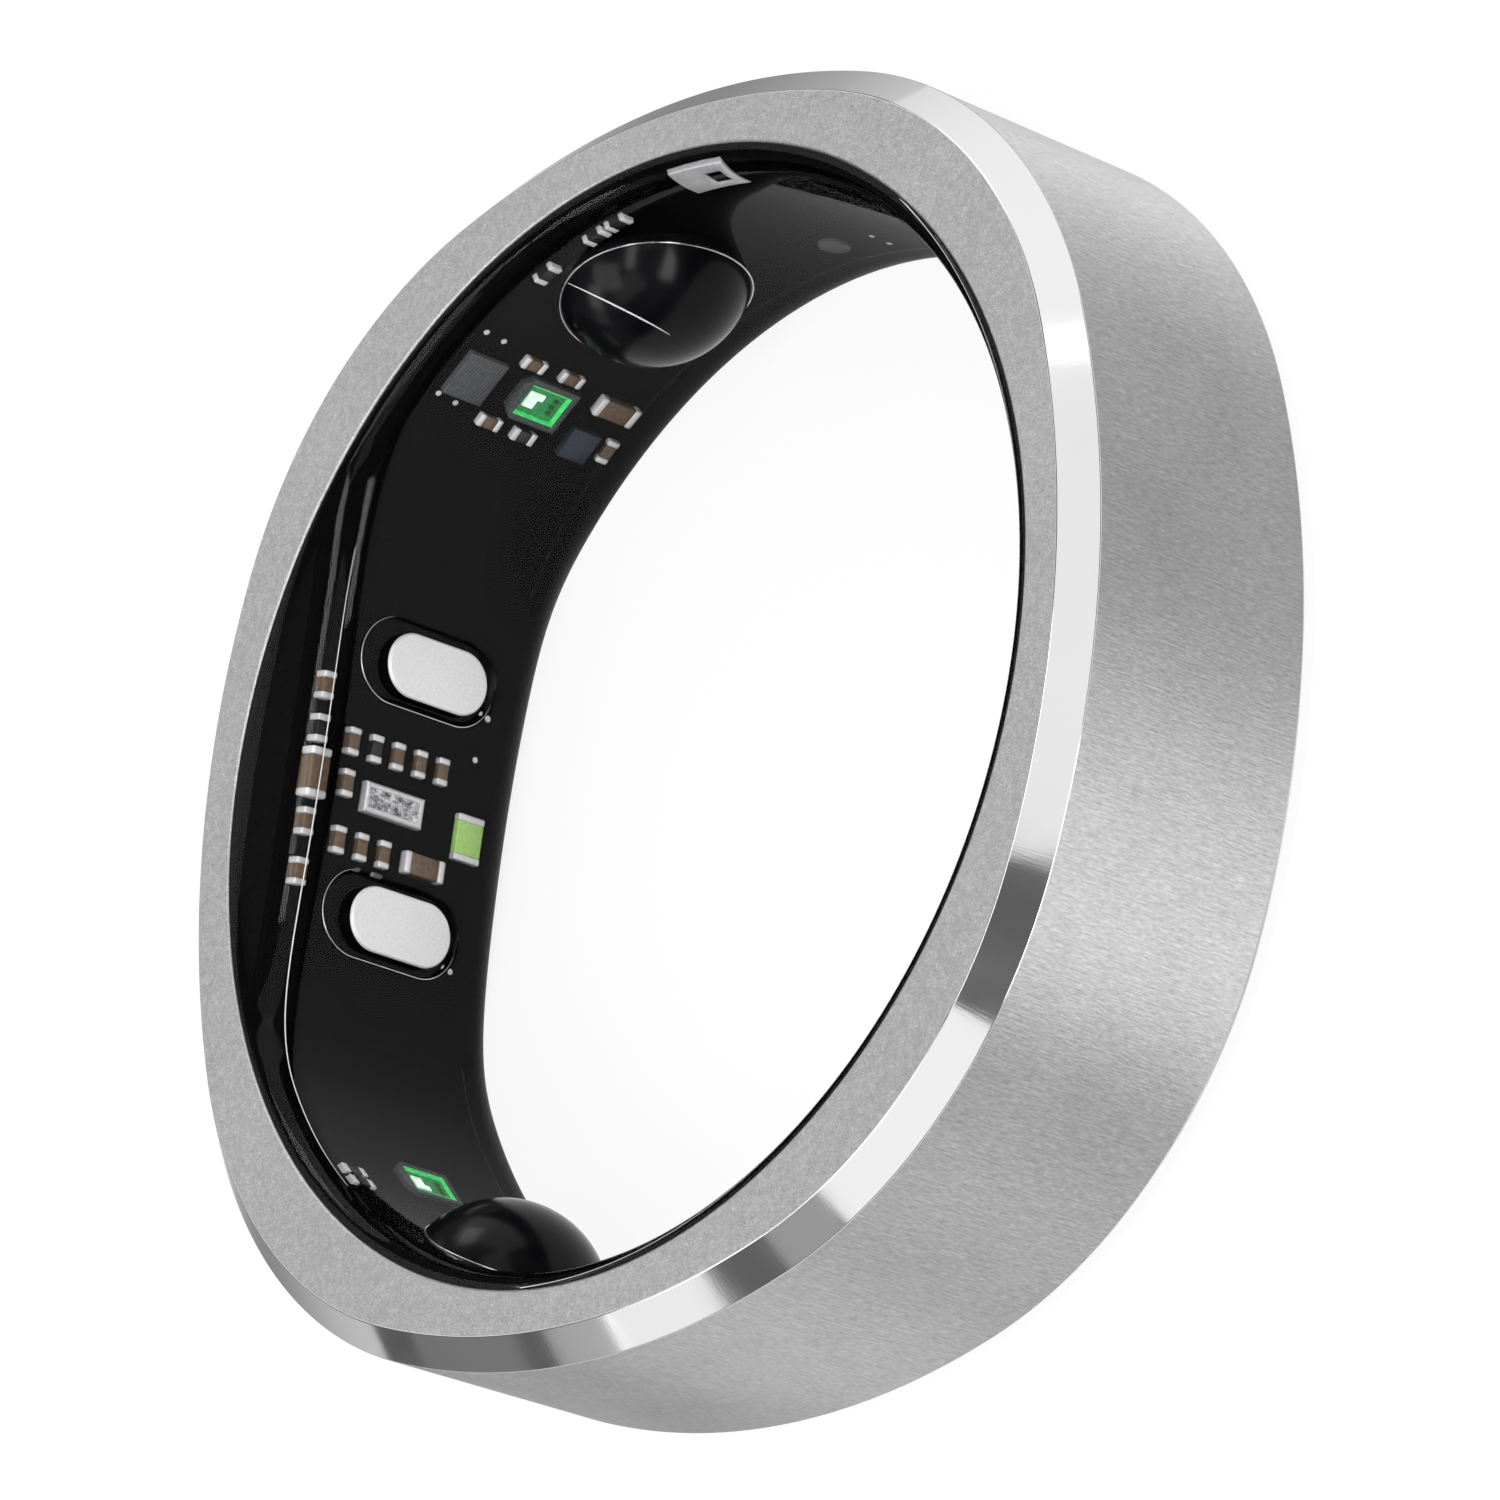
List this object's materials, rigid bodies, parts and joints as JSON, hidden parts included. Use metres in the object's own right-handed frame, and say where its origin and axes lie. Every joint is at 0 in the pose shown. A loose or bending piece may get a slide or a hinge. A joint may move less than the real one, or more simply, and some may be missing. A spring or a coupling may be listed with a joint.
{
  "type": "smart ring",
  "caption": "Rounded-square metal smart ring with a clear resin inner liner over its circuit, two sensor domes and a flat carrying two charging contacts.",
  "frame": {"origin": "centre of the lower side face, on the finger axis", "axes": "+Z along the finger axis to the upper side face, -X towards the inner flat with the contacts, +Y towards the upper sensor dome"},
  "size_m": [0.027, 0.027, 0.0068],
  "materials": {
    "titanium": "bead-blasted side faces, polished chamfers, satin barrel",
    "clear_resin": "clear moulded resin over a black ground",
    "dome_resin": "polished dark infrared-clear resin",
    "contact_plating": "satin plated",
    "circuit_film": "black cover film",
    "carrier_plastic": "moulded black",
    "battery_foil": "laminated pouch foil",
    "gold_plating": "plated strip",
    "housing_plastic": "dark grey moulded housing",
    "emitter_glow": "pale dies under green light",
    "chip_glass": "dark bare silicon",
    "chip_grey": "grey moulded package",
    "chip_blue": "dark blue package",
    "chip_silver": "satin metal",
    "fuse_green": "bright green glaze",
    "capacitor_ceramic": "brown fired ceramic",
    "resistor_black": "black glaze",
    "solder_tin": "tinned",
    "chip_black": "black moulded package"
  },
  "bodies": {
    "root": {"outer_shell": "titanium", "inner_liner": "clear_resin", "sensor_dome_upper": "dome_resin", "sensor_dome_lower": "dome_resin", "charge_contact_upper": "contact_plating", "charge_contact_lower": "contact_plating", "flex_circuit": "circuit_film", "carrier_frame": "carrier_plastic", "battery_cell": "battery_foil", "battery_tabs": "gold_plating", "light_housing_upper": "housing_plastic", "light_housing_lower": "housing_plastic", "light_chips_upper": "emitter_glow", "light_chips_lower": "emitter_glow", "photodiode_upper": "chip_glass", "photodiode_lower": "chip_glass", "sensor_front_end": "chip_grey", "power_chip": "chip_blue", "motion_sensor": "chip_silver", "charge_fuse": "fuse_green", "charge_fuse_ends": "solder_tin", "small_capacitors": "capacitor_ceramic", "small_capacitor_ends": "solder_tin", "large_capacitors": "capacitor_ceramic", "large_capacitor_ends": "solder_tin", "resistors": "resistor_black", "resistor_ends": "solder_tin", "skin_thermometer": "chip_grey", "antenna_clip": "chip_silver", "test_points": "solder_tin", "processor": "chip_black", "charge_controller": "chip_black", "memory_chip": "chip_black", "crystal": "chip_silver", "power_inductor": "chip_grey"}
  },
  "joints": []
}
